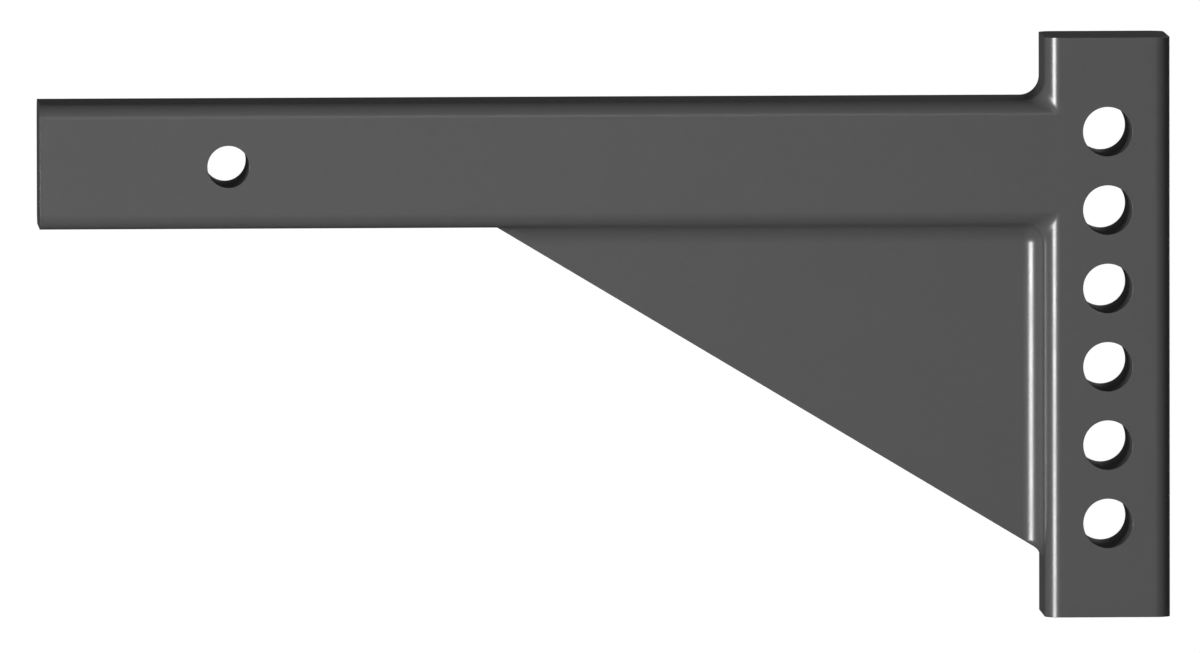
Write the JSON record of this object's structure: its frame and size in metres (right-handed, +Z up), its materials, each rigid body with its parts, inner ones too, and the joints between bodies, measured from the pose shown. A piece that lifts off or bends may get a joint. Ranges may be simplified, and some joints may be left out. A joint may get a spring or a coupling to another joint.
{
  "type": "weight distribution hitch shank",
  "caption": "Solid square receiver bar with a drilled post welded across its end, a triangular gusset plate under the bar and concave weld beads.",
  "frame": {"origin": "centre of the hitch pin hole through the receiver bar, on the bar's centreline", "axes": "+X along the bar from its free end to the post, +Y along the holes, +Z up the post"},
  "size_m": [0.4572, 0.0508, 0.2349],
  "materials": {
    "coated_bar": "satin charcoal powder coat over square steel bar",
    "coated_plate": "satin charcoal powder coat over flame cut steel plate",
    "coated_weld": "satin charcoal powder coat over smooth weld beads"
  },
  "bodies": {
    "root": {"receiver_bar": "coated_bar", "post": "coated_bar", "gusset_plate": "coated_plate", "weld_bar_top": "coated_weld", "weld_bar_front": "coated_weld", "weld_bar_rear": "coated_weld", "weld_bar_underside_front": "coated_weld", "weld_bar_underside_rear": "coated_weld", "weld_gusset_bar_front": "coated_weld", "weld_gusset_bar_rear": "coated_weld", "weld_gusset_post_front": "coated_weld", "weld_gusset_post_rear": "coated_weld", "weld_gusset_toe": "coated_weld"}
  },
  "joints": []
}
